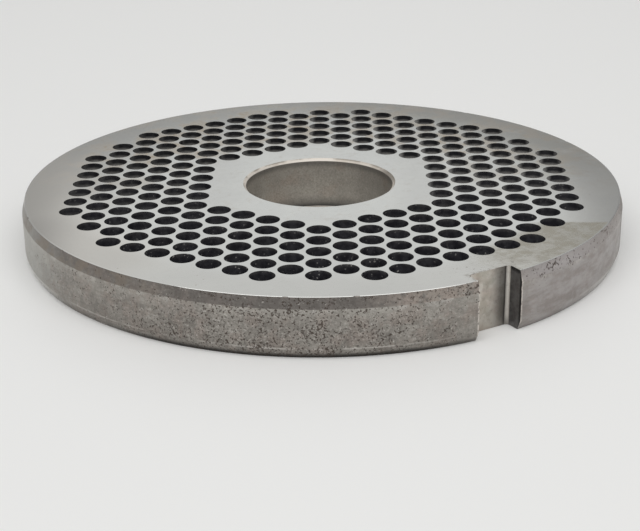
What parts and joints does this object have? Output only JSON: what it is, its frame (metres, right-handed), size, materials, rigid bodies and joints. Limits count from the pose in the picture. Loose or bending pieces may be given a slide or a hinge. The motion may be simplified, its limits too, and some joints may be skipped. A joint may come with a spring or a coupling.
{
  "type": "meat grinder plate",
  "caption": "Round perforated steel plate for a meat grinder, with a hexagonal field of round cutting holes, a central bore and a locating notch in its rim.",
  "frame": {"origin": "on the bore's axis, at the lower face", "axes": "+Z along the bore towards the upper cutting face, with the locating notch pointing along -Y"},
  "size_m": [0.1295, 0.1293, 0.012],
  "materials": {
    "steel": "ground flat face with faint stains, darker pitted and lightly rusted rim"
  },
  "bodies": {
    "root": {"grinder_plate": "steel"}
  },
  "joints": []
}
